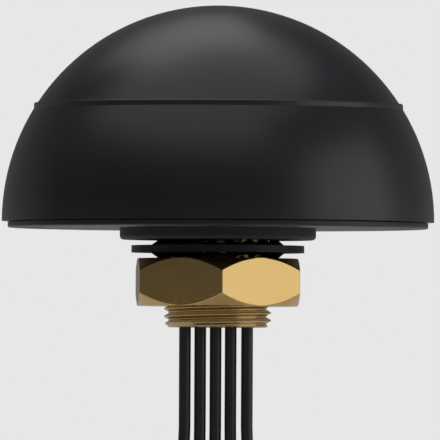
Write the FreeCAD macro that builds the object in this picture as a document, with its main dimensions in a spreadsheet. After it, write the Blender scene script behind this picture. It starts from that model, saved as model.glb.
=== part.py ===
"""Roof antenna for several radios: a domed radome on a round base plate, a hollow threaded
stud through the roof, and five thin coaxial leads that hang out of the stud.

Millimetres. The origin is the centre of the gasket's underside, where the antenna meets the
roof; +Z points up out of the vehicle and the front of the antenna faces -Y.
"""

import FreeCAD, Part
import math
import os
import re
import Sketcher
from FreeCAD import Placement, Rotation, Vector

os.makedirs("parts", exist_ok=True)
doc = FreeCAD.newDocument("roof_antenna")

# %% Driving dimensions

SIZES = {
    # Radome: a hemisphere of two mouldings, the cap set into the top of the skirt; the ledge
    # where they meet is given by its angle up the sphere
    "dome_radius": 51.35,
    "dome_wall": 2.4,
    "rim_level": 4.32,
    "ledge_angle": 33.177,
    "ledge_land": 1.33,
    "ledge_round": 0.35,
    "cap_spigot": 1.6,
    "bond_gap": 0.05,
    "boss_radius": 3.4,
    "boss_inset": 5.45,
    "boss_height": 15.0,
    "web_width": 2.4,
    "web_height": 7.0,
    "web_bite": 0.35,
    # Base plate, screwed up into the skirt
    "rim_wall": 1.35,
    "base_drop": 1.55,
    "base_thick": 4.0,
    "base_edge": 0.4,
    "base_fit": 0.07,
    "base_screw_radius": 1.5,
    "base_screw_length": 12.0,
    "base_screw_head": 2.8,
    "base_head_height": 1.6,
    "base_head_cover": 0.2,
    "screw_play": 0.1,
    "seal_thick": 1.5,
    # Gasket between the base plate and the roof
    "gasket_width": 10.6,
    "gasket_play": 0.3,
    "gasket_recess": 0.8,
    "gasket_round": 0.9,
    "gasket_fit": 0.1,
    # Stud, a one inch fine thread, hollow for the leads
    "stud_bore": 9.7,
    "stud_wall": 3.0,
    "stud_end": 5.03,
    "stud_chamfer": 1.1,
    "stud_play": 0.1,
    "flange_rim": 3.3,
    "flange_thick": 2.5,
    "flange_sink": 1.2,
    "flange_fit": 0.1,
    "thread_play": 0.05,
    # Lock washer with twisted internal teeth
    "washer_band": 5.12,
    "washer_thick": 1.7,
    "tooth_length": 2.7,
    "tooth_bed": 0.5,
    "tooth_play": 0.4,
    "tooth_flat": 1.2,
    "tooth_width": 4.1,
    "tooth_twist": 60.0,
    "tooth_count": 19,
    # Hexagon nut
    "nut_wall": 6.35,
    "nut_thick": 11.32,
    "nut_turn": 2.7,
    "nut_chamfer": 45.0,
    "nut_sink": 0.9,
    # Feed board and what stands on it. An element's place is its share of the way out to the
    # edge, the small board takes its share of the room between the low band elements, and the
    # patch and the shield each take their share of that board
    "standoff_radius": 3.2,
    "standoff_height": 3.0,
    "board_gap": 2.1,
    "board_thick": 1.6,
    "board_screw_inset": 5.0,
    "board_screw_radius": 1.25,
    "board_screw_head": 2.3,
    "board_head_height": 1.5,
    "board_screw_length": 5.0,
    "low_share": 0.6316,
    "low_sheet": 0.8,
    "low_headroom": 5.58,
    "low_halfwidth": 13.0,
    "low_foot": 4.0,
    "low_hat": 8.0,
    "low_neck": 3.0,
    "low_necktop": 4.0,
    "low_flare": 12.0,
    "high_share": 0.6579,
    "high_sheet": 0.8,
    "high_height": 17.0,
    "high_halfwidth": 7.0,
    "high_foot": 4.0,
    "high_hat": 4.0,
    "high_neck": 2.0,
    "high_necktop": 3.0,
    "high_flare": 7.0,
    "gnss_share": 0.66667,
    "gnss_thick": 1.0,
    "gnss_corner": 2.0,
    "patch_share": 0.78125,
    "patch_thick": 4.0,
    "patch_corner": 1.5,
    "shield_share": 0.5625,
    "shield_thick": 3.0,
    "shield_corner": 1.0,
    "spacer_radius": 1.9,
    "spacer_height": 6.0,
    "spacer_pin": 1.0,
    "spacer_inset": 3.2,
    "spacer_tip": 1.2,
    "pin_play": 0.1,
    # Leads, their grommet in the stud, and the coils of the length that hangs free
    "lead_radius": 1.4,
    "grommet_length": 10.0,
    "grommet_sink": 1.5,
    "grommet_fit": 0.05,
    "lead_fit": 0.05,
    "coil_radius": 15.4,
    "coil_turns": 2,
    "turn_gap": 0.4,
    "coil_round": 1.2,
    "coil_slack": 0.1,
    "coil_gap": 1.2,
    "coil_drop": 92.0,
    "coil_tail": 10.0,
    # Coaxial screw plug on the end of each lead
    "sleeve_wall": 0.7,
    "sleeve_length": 8.0,
    "sleeve_round": 0.5,
    "shoulder_step": 0.85,
    "shoulder_length": 3.0,
    "shoulder_chamfer": 0.4,
    "neck_radius": 2.55,
    "tongue_step": 0.45,
    "tongue_length": 2.2,
    "contact_radius": 0.46,
    "contact_length": 2.5,
    "coupling_wall": 0.82,
    "coupling_length": 8.0,
    "tongue_play": 0.18,
    "coupling_chamfer": 30.0,
    "neck_play": 0.07,
    "collar_length": 1.3,
    "collar_play": 0.1,
}

# %% Dimensions that follow from them

WORKED_OUT = {
    "inner_radius": "dome_radius - dome_wall",
    "base_radius": "dome_radius - rim_wall - base_fit",
    "base_bottom": "rim_level - base_drop",
    "base_top": "base_bottom + base_thick",
    "base_screw_circle": "inner_radius - boss_inset",
    "base_head_sink": "base_head_height + base_head_cover",
    "web_reach": "inner_radius + web_bite",
    "ledge_rise": "dome_radius * sin(ledge_angle * 1deg)",
    "ledge_level": "rim_level + ledge_rise",
    "land_rise": "ledge_rise - ledge_land",
    "land_radius": "sqrt(dome_radius ^ 2 - land_rise ^ 2)",
    "cap_radius": "sqrt(dome_radius ^ 2 - ledge_rise ^ 2)",
    "cap_foot": "ledge_level - cap_spigot",
    "cap_foot_bore": "sqrt(inner_radius ^ 2 - (cap_foot - rim_level) ^ 2)",
    "skirt_seat_bore": "sqrt(inner_radius ^ 2 - (base_top - rim_level) ^ 2)",
    "seal_level": "(base_bottom + base_top) / 2",
    "seal_groove": "seal_thick - base_fit",
    "stud_radius": "stud_bore + stud_wall",
    "gasket_radius": "stud_radius + gasket_width",
    "gasket_top": "base_bottom + gasket_recess",
    "gasket_bore": "stud_radius + gasket_play",
    "flange_seat": "base_top - flange_sink",
    "flange_flats": "2 * (stud_radius + flange_rim)",
    "flange_corner": "flange_flats / sqrt(3)",
    "pocket_flats": "flange_flats + 2 * flange_fit",
    "pocket_corner": "pocket_flats / sqrt(3)",
    "tooth_rise": "(tooth_width * sin(tooth_twist * 1deg) + washer_thick * cos(tooth_twist * 1deg)) / 2",
    "nut_flats": "2 * (stud_radius + nut_wall)",
    "nut_corner": "nut_flats / sqrt(3)",
    "nut_top": "-2 * tooth_rise",
    "tooth_tip": "stud_radius + tooth_play",
    "tooth_bend": "tooth_tip + tooth_flat",
    "washer_root": "stud_radius + tooth_length",
    "washer_radius": "washer_root + washer_band",
    "stud_reach": "2 * tooth_rise + nut_thick + stud_end",
    "board_bottom": "base_top + standoff_height",
    "board_top": "board_bottom + board_thick",
    "board_radius": "base_screw_circle - boss_radius - board_gap",
    "board_screw_circle": "board_radius - board_screw_inset",
    "low_offset": "board_radius * low_share",
    "high_offset": "board_radius * high_share",
    "low_roof": "rim_level + sqrt(inner_radius ^ 2 - low_offset ^ 2 - low_halfwidth ^ 2)",
    "low_height": "low_roof - low_headroom - board_top",
    "gnss_bottom": "board_top + spacer_height",
    "gnss_side": "2 * low_offset * gnss_share",
    "patch_side": "gnss_side * patch_share",
    "shield_side": "gnss_side * shield_share",
    "grommet_foot": "grommet_sink - stud_reach",
    "coil_level": "-coil_drop",
    "coil_pitch": "2 * lead_radius + turn_gap",
    "coil_width": "coil_turns * coil_pitch + 2 * lead_radius + 2 * coil_slack",
    "coil_inside": "coil_radius - lead_radius - coil_slack",
    "coil_outside": "coil_radius + lead_radius + coil_slack",
    "sleeve_top": "coil_level - coil_tail",
    "plug_top": "sleeve_top - sleeve_length",
    "sleeve_radius": "lead_radius + sleeve_wall",
    "tongue_radius": "neck_radius + tongue_step",
    "shoulder_radius": "neck_radius + shoulder_step",
    "neck_length": "collar_length + 2 * collar_play",
    "collar_bore": "neck_radius + neck_play",
    "coupling_bore": "tongue_radius + tongue_play",
    "coupling_top": "plug_top - shoulder_length - collar_play",
    "coupling_flats": "2 * (coupling_bore + coupling_wall)",
    "coupling_corner": "coupling_flats / sqrt(3)",
    "coil_spacing": "max(coil_width; 2 * coupling_corner) + coil_gap",
}

# Where each lead leaves the stud, from left to right across the front, as shares of its bore
LEAD_SHARES = [-0.79381, -0.41959, -0.0433, 0.32474, 0.72577]
LEADS = range(1, len(LEAD_SHARES) + 1)
# The two bends that spread the leads out from the stud to their coils
SPREAD_START = -54.0
SPREAD_END = -71.0

sheet = doc.addObject("Spreadsheet::Sheet", "sizes")
for row, (alias, size) in enumerate(list(SIZES.items()) + list(WORKED_OUT.items()), start=1):
    cell = f"B{row}"
    sheet.set(f"A{row}", alias)
    sheet.set(cell, str(size) if alias in SIZES else f"={size}")
    sheet.setAlias(cell, alias)
doc.recompute()

SCRATCH_CELL = "D1"


def measure(term):
    """The number that a term written in the sheet's own names comes to."""
    sheet.set(SCRATCH_CELL, f"={term}")
    sheet.recompute()
    return float(sheet.get(SCRATCH_CELL))


def bound(term):
    """The same term as an expression that other objects can be bound to."""
    return re.sub(r"([a-z]+_[a-z]+(_[a-z]+)*)", r"sizes.\1", term)


# %% Sketches and features that are used again and again

PLAIN = "0"
# How far a cutting outline runs past what it cuts
SPARE = "1"
cuts = []


def new_body(label, level=PLAIN, turn=PLAIN):
    """An empty body with its own label, lifted to a level and turned about +Z."""
    body = doc.addObject("PartDesign::Body", label)
    body.Label = label
    body.Placement = Placement(Vector(0, 0, measure(level)), Rotation(Vector(0, 0, 1), measure(turn)))
    if level != PLAIN:
        body.setExpression("Placement.Base.z", bound(level))
    if turn != PLAIN:
        body.setExpression("Placement.Rotation.Angle", f"({bound(turn)}) * 1deg")
    return body


def new_sketch(body, plane, name, level=PLAIN):
    """A sketch on one of the body's own origin planes, or parallel to it at a level."""
    sketch = body.newObject("Sketcher::SketchObject", name)
    support = [part for part in body.Origin.OriginFeatures if part.Role == plane][0]
    sketch.AttachmentSupport = (support, [""])
    sketch.MapMode = "FlatFace"
    if level != PLAIN:
        sketch.setExpression("AttachmentOffset.Base.z", bound(level))
    return sketch


def hold_point(sketch, edge, end, across, up):
    """Ties a point of a sketch to the sheet; a zero puts it on the axis."""
    for term, kind, axis in ((across, "DistanceX", -2), (up, "DistanceY", -1)):
        size = measure(term)
        if abs(size) < 1e-9:
            sketch.addConstraint(Sketcher.Constraint("PointOnObject", edge, end, axis))
            continue
        if size > 0:
            rule = Sketcher.Constraint(kind, -1, 1, edge, end, size)
            held = bound(term)
        else:
            rule = Sketcher.Constraint(kind, edge, end, -1, 1, -size)
            held = f"-({bound(term)})"
        index = sketch.addConstraint(rule)
        sketch.setExpression(f"Constraints[{index}]", held)


def arc_between(start, finish, radius, side):
    """Arc from start to finish with its centre to the left or right of the way there."""
    chord = finish - start
    rise = math.sqrt(radius**2 - (chord.Length / 2) ** 2)
    left = Vector(-chord.y, chord.x, 0).normalize()
    centre = start + chord * 0.5 + left * (rise if side == "left" else -rise)
    first, last = (start, finish) if side == "left" else (finish, start)
    begin = math.atan2(first.y - centre.y, first.x - centre.x)
    end = math.atan2(last.y - centre.y, last.x - centre.x)
    if end < begin:
        end += 2 * math.pi
    return Part.ArcOfCircle(Part.Circle(centre, Vector(0, 0, 1), radius), begin, end)


def outline(sketch, corners):
    """Closed outline through corners (across, up); a corner with a radius and a side
    starts an arc of that radius instead of a straight edge."""
    spots = [Vector(measure(corner[0]), measure(corner[1]), 0) for corner in corners]
    ends = []
    for index, corner in enumerate(corners):
        start = spots[index]
        finish = spots[(index + 1) % len(spots)]
        if len(corner) == 2:
            edge = sketch.addGeometry(Part.LineSegment(start, finish), False)
            ends.append((edge, 1, 2))
            continue
        edge = sketch.addGeometry(arc_between(start, finish, measure(corner[2]), corner[3]), False)
        ends.append((edge, 1, 2) if corner[3] == "left" else (edge, 2, 1))
    for index, (edge, first, last) in enumerate(ends):
        following = ends[(index + 1) % len(ends)]
        sketch.addConstraint(Sketcher.Constraint("Coincident", edge, last, following[0], following[1]))
        hold_point(sketch, edge, first, corners[index][0], corners[index][1])
    for (edge, first, last), corner in zip(ends, corners):
        if len(corner) > 2:
            index = sketch.addConstraint(Sketcher.Constraint("Radius", edge, measure(corner[2])))
            sketch.setExpression(f"Constraints[{index}]", bound(corner[2]))


def circle(sketch, radius, across=PLAIN, up=PLAIN):
    """A full circle."""
    middle = Vector(measure(across), measure(up), 0)
    edge = sketch.addGeometry(Part.Circle(middle, Vector(0, 0, 1), measure(radius)), False)
    if measure(across) == 0 and measure(up) == 0:
        sketch.addConstraint(Sketcher.Constraint("Coincident", edge, 3, -1, 1))
    else:
        hold_point(sketch, edge, 3, across, up)
    index = sketch.addConstraint(Sketcher.Constraint("Radius", edge, measure(radius)))
    sketch.setExpression(f"Constraints[{index}]", bound(radius))


def rectangle(sketch, half_across, half_up):
    """A rectangle about the sketch's origin."""
    low_across, low_up = f"-({half_across})", f"-({half_up})"
    outline(sketch, [(low_across, low_up), (half_across, low_up), (half_across, half_up),
                     (low_across, half_up)])


def hexagon(sketch, flats, corner):
    """A hexagon about the sketch's origin with two of its corners on the across axis."""
    half, side = f"{corner} / 2", f"{flats} / 2"
    outline(sketch, [(corner, PLAIN), (half, side), (f"-{half}", side), (f"-{corner}", PLAIN),
                     (f"-{half}", f"-{side}"), (half, f"-{side}")])


def turned(body, name, corners, plane="XZ_Plane", axis="V_Axis"):
    """A solid of revolution from half its section."""
    sketch = new_sketch(body, plane, f"{name}_section")
    outline(sketch, corners)
    solid = body.newObject("PartDesign::Revolution", name)
    solid.Profile = sketch
    solid.ReferenceAxis = (sketch, [axis])
    solid.Angle = 360
    return solid


def pad(body, sketch, name, length, midplane=False, downward=False):
    """Builds up from a sketch."""
    solid = body.newObject("PartDesign::Pad", name)
    solid.Profile = sketch
    solid.Length = measure(length)
    solid.setExpression("Length", bound(length))
    solid.Midplane = midplane
    solid.Reversed = downward
    return solid


def pocket(body, sketch, name, depth=None, upward=False):
    """Cuts down from a sketch, or up; with no depth it cuts through both ways."""
    cut = body.newObject("PartDesign::Pocket", name)
    cut.Profile = sketch
    cut.Reversed = upward
    if depth is None:
        cut.Type = "ThroughAll"
        cut.Midplane = True
    else:
        cut.Length = measure(depth)
        cut.setExpression("Length", bound(depth))
    cuts.append(cut)
    return cut


def groove(body, name, outlines):
    """Turns away rings of the given sections."""
    sketch = new_sketch(body, "XZ_Plane", f"{name}_section")
    for corners in outlines:
        outline(sketch, corners)
    cut = body.newObject("PartDesign::Groove", name)
    cut.Profile = sketch
    cut.ReferenceAxis = (sketch, ["V_Axis"])
    cut.Angle = 360
    cuts.append(cut)
    return cut


def round_pattern(body, name, features, count, count_term=None):
    """Repeats features evenly round the body's own +Z axis."""
    pattern = body.newObject("PartDesign::PolarPattern", name)
    pattern.Originals = features
    pattern.Axis = ([part for part in body.Origin.OriginFeatures if part.Role == "Z_Axis"][0], [""])
    pattern.Angle = 360
    pattern.Occurrences = count
    if count_term:
        pattern.setExpression("Occurrences", bound(count_term))
    body.Tip = pattern
    return pattern


def keep(label, shape):
    """A sub-part whose shape comes from plain solids; its sizes are read from the sheet."""
    item = doc.addObject("Part::Feature", label)
    item.Label = label
    item.Shape = shape
    return item


def turned_solid(corners):
    """A plain solid turned about +Z from (radius, height) numbers."""
    points = [Vector(radius, 0, height) for radius, height in corners]
    section = Part.Face(Part.makePolygon(points + points[:1]))
    return section.revolve(Vector(0, 0, 0), Vector(0, 0, 1), 360)


def around(solid, radius, count, start):
    """Copies of a solid on a circle, as one group of separate solids."""
    copies = []
    for index in range(count):
        copy = solid.copy()
        copy.translate(Vector(radius, 0, 0))
        copy.rotate(Vector(0, 0, 0), Vector(0, 0, 1), start + index * 360 / count)
        copies.append(copy)
    return Part.makeCompound(copies)


nodes = []
# Four screws, standoffs, bosses or pillars to a set
FASTENERS = 4
# A small screw's rounded edges and its socket, as shares of its head
EDGE_SHARE = 0.25
SOCKET_SHARE = 0.55
SOCKET_DEPTH_SHARE = 0.6
HEXAGON_CORNERS = 6

# %% Radome cap


def radome_cap():
    """The upper shell, a spherical cap whose foot is turned down into a short spigot."""
    body = new_body("radome_cap")
    turned(body, "cap_shell", [
        ("cap_foot_bore", "cap_foot"),
        ("cap_radius", "cap_foot"),
        ("cap_radius", "ledge_level", "dome_radius", "left"),
        (PLAIN, "rim_level + dome_radius"),
        (PLAIN, "rim_level + inner_radius", "inner_radius", "right"),
    ])
    nodes.append(body)


# %% Radome skirt


def radome_skirt():
    """The lower shell: the ledge that frames the cap, the counterbore for the base plate
    and four screw bosses, each tied to the wall by a web."""
    body = new_body("radome_skirt")
    seat = "cap_radius + bond_gap"
    turned(body, "skirt_shell", [
        ("base_radius + base_fit", "rim_level"),
        ("dome_radius", "rim_level", "dome_radius", "left"),
        ("land_radius", "ledge_level - ledge_land"),
        ("land_radius", "ledge_level - ledge_round", "ledge_round", "left"),
        ("land_radius - ledge_round", "ledge_level"),
        (seat, "ledge_level"),
        (seat, "cap_foot"),
        ("cap_foot_bore", "cap_foot", "inner_radius", "right"),
        ("skirt_seat_bore", "base_top"),
        ("base_radius + base_fit", "base_top"),
    ])
    boss_sketch = new_sketch(body, "XY_Plane", "boss_outline", "base_top")
    circle(boss_sketch, "boss_radius", "base_screw_circle")
    boss = pad(body, boss_sketch, "boss", "boss_height")
    web_sketch = new_sketch(body, "XY_Plane", "web_outline", "base_top")
    outline(web_sketch, [("base_screw_circle", "-web_width / 2"), ("web_reach", "-web_width / 2"),
                         ("web_reach", "web_width / 2"), ("base_screw_circle", "web_width / 2")])
    web = pad(body, web_sketch, "web", "web_height")
    round_pattern(body, "bosses", [boss, web], FASTENERS)
    pilot_sketch = new_sketch(body, "XY_Plane", "pilot_outline", "base_top")
    circle(pilot_sketch, "base_screw_radius + screw_play", "base_screw_circle")
    pilot = pocket(body, pilot_sketch, "pilot_hole",
                   "base_screw_length - base_thick + base_head_sink + screw_play", upward=True)
    round_pattern(body, "pilot_holes", [pilot], FASTENERS)
    nodes.append(body)


# %% Base plate


def base_plate():
    """Moulded plate: recess for the gasket below, six-sided seat for the stud's flange above,
    seal groove round the edge, sunk screw holes and four standoffs for the feed board."""
    body = new_body("base_plate")
    hole = "stud_radius + stud_play"
    recess = "gasket_radius + gasket_fit"
    floor = "base_radius - seal_groove"
    turned(body, "plate", [
        (hole, "gasket_top"),
        (recess, "gasket_top"),
        (recess, "base_bottom"),
        ("base_radius - base_edge", "base_bottom", "base_edge", "left"),
        ("base_radius", "base_bottom + base_edge"),
        ("base_radius", "seal_level - seal_thick / 2"),
        (floor, "seal_level - seal_thick / 2"),
        (floor, "seal_level + seal_thick / 2"),
        ("base_radius", "seal_level + seal_thick / 2"),
        ("base_radius", "base_top"),
        (hole, "base_top"),
    ])
    seat_sketch = new_sketch(body, "XY_Plane", "flange_seat_outline", "base_top")
    hexagon(seat_sketch, "pocket_flats", "pocket_corner")
    pocket(body, seat_sketch, "flange_seat_pocket", "flange_sink")
    standoff_sketch = new_sketch(body, "XY_Plane", "standoff_outline", "base_top")
    diagonal = "board_screw_circle / sqrt(2)"
    circle(standoff_sketch, "standoff_radius", diagonal, diagonal)
    standoff = pad(body, standoff_sketch, "standoff", "standoff_height")
    round_pattern(body, "standoffs", [standoff], FASTENERS)
    thread_sketch = new_sketch(body, "XY_Plane", "standoff_hole_outline", "board_bottom")
    circle(thread_sketch, "board_screw_radius + screw_play", diagonal, diagonal)
    thread_hole = pocket(body, thread_sketch, "standoff_hole", "board_screw_length - board_thick + screw_play")
    round_pattern(body, "standoff_holes", [thread_hole], FASTENERS)
    screw_sketch = new_sketch(body, "XY_Plane", "screw_hole_outline")
    circle(screw_sketch, "base_screw_radius + screw_play", "base_screw_circle")
    screw_hole = pocket(body, screw_sketch, "screw_hole", "base_top + screw_play", upward=True)
    sink_sketch = new_sketch(body, "XY_Plane", "screw_sink_outline")
    circle(sink_sketch, "base_screw_head + screw_play", "base_screw_circle")
    screw_sink = pocket(body, sink_sketch, "screw_sink", "base_bottom + base_head_sink", upward=True)
    round_pattern(body, "screw_holes", [screw_hole, screw_sink], FASTENERS)
    nodes.append(body)


def rim_seal():
    """Round rubber cord in the groove, touching the skirt's counterbore."""
    ring = doc.addObject("Part::Torus", "rim_seal")
    ring.Label = "rim_seal"
    ring.setExpression("Radius1", bound("base_radius + base_fit - seal_thick / 2"))
    ring.setExpression("Radius2", bound("seal_thick / 2"))
    ring.setExpression("Placement.Base.z", bound("seal_level"))
    nodes.append(ring)


# %% Gasket, lock washer and nut


def roof_gasket():
    """Flat rubber ring, its lower outer edge rounded."""
    body = new_body("roof_gasket")
    turned(body, "gasket_ring", [
        ("gasket_bore", PLAIN),
        ("gasket_radius - gasket_round", PLAIN, "gasket_round", "left"),
        ("gasket_radius", "gasket_round"),
        ("gasket_radius", "gasket_top"),
        ("gasket_bore", "gasket_top"),
    ])
    nodes.append(body)


def lock_washer():
    """Flat ring with internal teeth, each twisted about its own radius so that its two long
    edges bite the gasket above and the nut below."""
    body = new_body("lock_washer", "-tooth_rise")
    ring_sketch = new_sketch(body, "XY_Plane", "ring_outline")
    circle(ring_sketch, "washer_radius")
    circle(ring_sketch, "washer_root")
    pad(body, ring_sketch, "ring", "washer_thick", midplane=True)
    sections = []
    for name, radius, twist in (("root", "washer_root + tooth_bed", PLAIN),
                                ("bend", "tooth_bend", "tooth_twist"),
                                ("tip", "tooth_tip", "tooth_twist")):
        section = new_sketch(body, "YZ_Plane", f"tooth_{name}", radius)
        section.AttachmentOffset = Placement(Vector(0, 0, measure(radius)),
                                             Rotation(Vector(0, 0, 1), -measure(twist)))
        if twist != PLAIN:
            section.setExpression("AttachmentOffset.Rotation.Angle", f"{bound(twist)} * -1deg")
        rectangle(section, "tooth_width / 2", "washer_thick / 2")
        sections.append(section)
    tooth = body.newObject("PartDesign::AdditiveLoft", "tooth")
    tooth.Profile = sections[0]
    tooth.Sections = sections[1:]
    tooth.Ruled = True
    round_pattern(body, "teeth", [tooth], int(SIZES["tooth_count"]), "tooth_count")
    nodes.append(body)


def chamfered_nut(body, name, flats, corner, length, angle):
    """A hexagon whose corners are turned off at both ends, so that each flat ends in a curve."""
    sketch = new_sketch(body, "XY_Plane", f"{name}_outline")
    hexagon(sketch, flats, corner)
    pad(body, sketch, f"{name}_hexagon", length, downward=True)
    spare = f"{corner} + {SPARE}"
    fall = f"({corner} + {SPARE} - {flats} / 2) * tan({angle} * 1deg)"
    groove(body, f"{name}_chamfers", [
        [(f"{flats} / 2", PLAIN), (spare, f"-({fall})"), (spare, PLAIN)],
        [(f"{flats} / 2", f"-{length}"), (spare, f"-{length}"), (spare, f"{fall} - {length}")],
    ])


def hex_nut():
    """The big brass nut, one corner turned a little to the right of the front."""
    body = new_body("hex_nut", "nut_top", "nut_turn - 30")
    chamfered_nut(body, "nut", "nut_flats", "nut_corner", "nut_thick", "nut_chamfer")
    bore_sketch = new_sketch(body, "XY_Plane", "nut_bore_outline")
    circle(bore_sketch, "stud_radius + thread_play")
    pocket(body, bore_sketch, "nut_bore", "nut_thick")
    bore = "stud_radius + thread_play"
    groove(body, "bore_countersinks", [
        [(bore, PLAIN), (bore, "-nut_sink"), (f"{bore} + nut_sink", PLAIN)],
        [(bore, "-nut_thick"), (f"{bore} + nut_sink", "-nut_thick"), (bore, "nut_sink - nut_thick")],
    ])
    nodes.append(body)


# %% Stud and grommet


def mounting_stud():
    """Hollow stud turned from hexagon bar: its flange sits in the base plate's six-sided seat,
    which keeps it from turning while the nut is run up."""
    body = new_body("mounting_stud")
    turned(body, "barrel", [
        ("stud_bore", "-stud_reach"),
        ("stud_radius - stud_chamfer", "-stud_reach"),
        ("stud_radius", "stud_chamfer - stud_reach"),
        ("stud_radius", "flange_seat"),
        ("stud_bore", "flange_seat"),
    ])
    flange_sketch = new_sketch(body, "XY_Plane", "flange_outline", "flange_seat")
    hexagon(flange_sketch, "flange_flats", "flange_corner")
    circle(flange_sketch, "stud_bore")
    pad(body, flange_sketch, "flange", "flange_thick")
    nodes.append(body)


def lead_grommet():
    """Rubber grommet a little way up inside the stud, with a hole for each lead."""
    body = new_body("lead_grommet", "grommet_foot")
    outer = new_sketch(body, "XY_Plane", "grommet_outline")
    circle(outer, "stud_bore - grommet_fit")
    pad(body, outer, "grommet_block", "grommet_length")
    holes = new_sketch(body, "XY_Plane", "grommet_holes_outline")
    for share in LEAD_SHARES:
        circle(holes, "lead_radius + lead_fit", f"{share} * stud_bore")
    pocket(body, holes, "grommet_holes", "grommet_length", upward=True)
    nodes.append(body)


# %% Screws


def screws(label, length, radius, head, head_height, circle_radius, seat, start, upward=False):
    """Pan-head screws with a six-sided socket, driven down, or up, onto their seat."""
    shank_length, shank = measure(length), measure(radius)
    head_radius, rise = measure(head), measure(head_height)
    edge = EDGE_SHARE * rise
    screw = turned_solid([(0, -shank_length), (shank - edge, -shank_length),
                          (shank, edge - shank_length), (shank, 0), (head_radius, 0),
                          (head_radius, rise - edge), (head_radius - edge, rise), (0, rise)])
    corners = []
    for index in range(HEXAGON_CORNERS + 1):
        angle = math.radians(360 / HEXAGON_CORNERS * index)
        reach = SOCKET_SHARE * head_radius
        corners.append(Vector(reach * math.cos(angle), reach * math.sin(angle), rise))
    socket = Part.Face(Part.makePolygon(corners)).extrude(Vector(0, 0, -SOCKET_DEPTH_SHARE * rise))
    screw = screw.cut(socket)
    if upward:
        screw.rotate(Vector(0, 0, 0), Vector(1, 0, 0), 180)
    screw.translate(Vector(0, 0, measure(seat)))
    nodes.append(keep(label, around(screw, measure(circle_radius), FASTENERS, start)))


# %% Feed board, radiating elements and the positioning patch


def feed_board():
    """Round board that the leads are soldered to and the elements stand on."""
    body = new_body("feed_board", "board_bottom")
    disc = new_sketch(body, "XY_Plane", "board_outline")
    circle(disc, "board_radius")
    pad(body, disc, "board_disc", "board_thick")
    hole_sketch = new_sketch(body, "XY_Plane", "board_hole_outline")
    diagonal = "board_screw_circle / sqrt(2)"
    circle(hole_sketch, "board_screw_radius + screw_play", diagonal, diagonal)
    hole = pocket(body, hole_sketch, "board_hole", "board_thick", upward=True)
    round_pattern(body, "board_holes", [hole], FASTENERS)
    nodes.append(body)


def sheet_element(label, family, turn):
    """Radiating element bent from one strip: a soldered foot, a narrow neck that flares to
    the full width, and a hat folded over at the top."""
    body = new_body(label, "board_top")
    body.Placement.Rotation = Rotation(Vector(0, 0, 1), turn)
    offset, sheet_thick, height = f"{family}_offset", f"{family}_sheet", f"{family}_height"
    half, neck = f"{family}_halfwidth", f"{family}_neck"
    bend_sketch = new_sketch(body, "XZ_Plane", "strip_section")
    outline(bend_sketch, [
        (offset, PLAIN),
        (f"{offset} + {family}_foot", PLAIN),
        (f"{offset} + {family}_foot", sheet_thick),
        (f"{offset} + {sheet_thick}", sheet_thick),
        (f"{offset} + {sheet_thick}", height),
        (f"{offset} - {family}_hat", height),
        (f"{offset} - {family}_hat", f"{height} - {sheet_thick}"),
        (offset, f"{height} - {sheet_thick}"),
    ])
    pad(body, bend_sketch, "strip", f"2 * {half}", midplane=True)
    neck_sketch = new_sketch(body, "YZ_Plane", "neck_outline")
    outside, below = f"{half} + {SPARE}", f"-{SPARE}"
    outline(neck_sketch, [(neck, below), (outside, below), (outside, f"{family}_flare"),
                          (neck, f"{family}_necktop")])
    outline(neck_sketch, [(f"-{neck}", below), (f"-{neck}", f"{family}_necktop"),
                          (f"-({outside})", f"{family}_flare"), (f"-({outside})", below)])
    pocket(body, neck_sketch, "neck_cut")
    nodes.append(body)


def square_block(label, family, level):
    """A square plate or block about the antenna's axis with rounded corners."""
    body = new_body(label, level)
    side = f"{family}_side / 2"
    inner = f"{side} - {family}_corner"
    radius = f"{family}_corner"
    sketch = new_sketch(body, "XY_Plane", f"{family}_outline")
    outline(sketch, [
        (f"-({inner})", f"-{side}"), (inner, f"-{side}", radius, "left"),
        (side, f"-({inner})"), (side, inner, radius, "left"),
        (inner, side), (f"-({inner})", side, radius, "left"),
        (f"-{side}", inner), (f"-{side}", f"-({inner})", radius, "left"),
    ])
    pad(body, sketch, f"{family}_block", f"{family}_thick")
    nodes.append(body)
    return body


def gnss_board():
    """Small board on four pillars that carries the ceramic patch."""
    body = square_block("gnss_board", "gnss", "gnss_bottom")
    hole_sketch = new_sketch(body, "XY_Plane", "pillar_hole_outline")
    place = "gnss_side / 2 - spacer_inset"
    circle(hole_sketch, "spacer_pin + pin_play", place, place)
    hole = pocket(body, hole_sketch, "pillar_hole", "gnss_thick", upward=True)
    round_pattern(body, "pillar_holes", [hole], FASTENERS)


def gnss_spacers():
    """Four moulded pillars between the two boards, each with a pin through the upper one."""
    body_radius, height = measure("spacer_radius"), measure("spacer_height")
    pin, tip = measure("spacer_pin"), measure("spacer_tip")
    through = height + measure("gnss_thick")
    pillar = turned_solid([(0, 0), (body_radius, 0), (body_radius, height), (pin, height),
                           (pin, through + tip / 2), (pin / 2, through + tip), (0, through + tip)])
    pillar.translate(Vector(0, 0, measure("board_top")))
    place = math.sqrt(2) * measure("gnss_side / 2 - spacer_inset")
    nodes.append(keep("gnss_spacers", around(pillar, place, FASTENERS, 45)))


# %% Leads and coils

# The coils on the left are wound the other way, so that every plug hangs outward of its coil
middle_lead = (len(LEAD_SHARES) + 1) / 2
coil_side = {number: -1 if number < middle_lead else 1 for number in LEADS}


def coil_across(number):
    """How far across the middle of a lead's coil hangs."""
    return (number - middle_lead) * measure("coil_spacing")


def coil_shift(number):
    """From the middle of a coil across to the turn that the plug hangs from."""
    return coil_side[number] * measure("coil_turns * coil_pitch / 2")


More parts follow.
